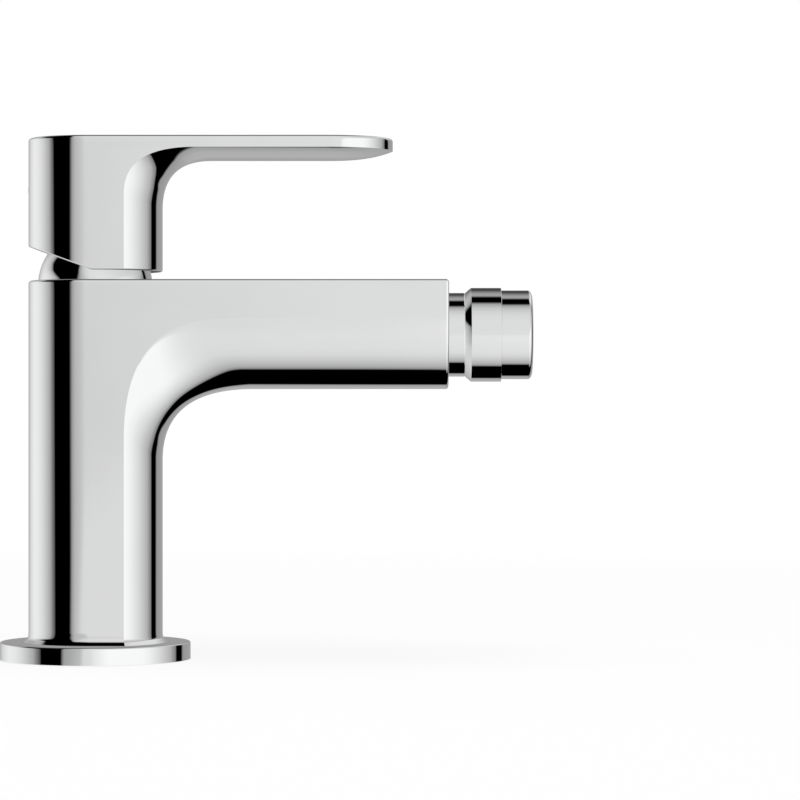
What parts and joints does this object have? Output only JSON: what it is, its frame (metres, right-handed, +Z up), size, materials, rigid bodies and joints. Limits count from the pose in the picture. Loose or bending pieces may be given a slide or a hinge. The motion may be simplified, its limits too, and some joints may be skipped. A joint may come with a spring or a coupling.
{
  "type": "bidet mixer",
  "caption": "Chrome single-lever bidet mixer with a flat lever, a straight spout and a swivelling aerator, on a round base flange.",
  "frame": {"origin": "centre of the base flange's underside, on the deck", "axes": "+X along the spout towards the outlet, +Z up, so +Y is the user's left"},
  "size_m": [0.1477, 0.0528, 0.1441],
  "materials": {
    "chrome_plate": "polished",
    "bare_brass": "satin",
    "steel": "satin",
    "white_plastic": "satin",
    "grey_plastic": "satin",
    "alumina": "polished",
    "black_rubber": "matte"
  },
  "bodies": {
    "mixer_body": {"body": "chrome_plate", "base_gasket": "black_rubber", "dome_cover": "chrome_plate", "dome_o_ring": "black_rubber", "cartridge_nut": "bare_brass", "cartridge_housing": "white_plastic", "lower_ceramic_disc": "alumina", "disc_seals": "black_rubber", "cartridge_base": "white_plastic", "base_seals": "black_rubber", "swivel_neck": "chrome_plate", "neck_washer": "black_rubber", "ball_stem": "bare_brass"},
    "carrier": {"spindle_carrier": "grey_plastic", "carrier_o_ring": "black_rubber", "spindle_pivot_pin": "steel"},
    "lever": {"lever_handle": "chrome_plate", "handle_set_screw": "steel", "set_screw_cap": "chrome_plate", "cartridge_spindle": "steel"},
    "disc_slider": {"disc_driver": "grey_plastic", "upper_ceramic_disc": "alumina"},
    "outlet_slide_ring": {"ball_slide_ring": "white_plastic"},
    "outlet_seal": {"ball_seal_ring": "black_rubber"},
    "outlet": {"swivel_collar": "chrome_plate", "outlet_ring": "chrome_plate", "aerator_washer": "black_rubber", "aerator_sieve": "steel", "aerator_insert": "grey_plastic"}
  },
  "joints": [
    {"name": "lever_turn", "type": "hinge", "parent": "mixer_body", "child": "carrier", "pos_m": [0, 0, 0.1035], "axis": [0, 0, 1], "range_deg": [-45, 45]},
    {"name": "lever_lift", "type": "hinge", "parent": "carrier", "child": "lever", "pos_m": [0, 0, 0.1035], "axis": [0, -1, 0], "range_deg": [0, 20]},
    {"name": "disc_slide", "type": "slide", "parent": "carrier", "child": "disc_slider", "axis": [1, 0, 0], "range_m": [0, 0.00316]},
    {"name": "outlet_yaw", "type": "hinge", "parent": "mixer_body", "child": "outlet_slide_ring", "pos_m": [0.1142, 0, 0.08985], "axis": [0, 0, 1], "range_deg": [-10, 10]},
    {"name": "outlet_pitch", "type": "hinge", "parent": "outlet_slide_ring", "child": "outlet_seal", "pos_m": [0.1142, 0, 0.08985], "axis": [0, 1, 0], "range_deg": [-10, 10]},
    {"name": "outlet_spin", "type": "hinge", "parent": "outlet_seal", "child": "outlet", "pos_m": [0.1142, 0, 0.08985], "axis": [1, 0, 0], "continuous": true}
  ],
  "couplings": [
    {"joint": "disc_slide", "follows": "lever_lift", "m_per_rad": 0.009014}
  ]
}
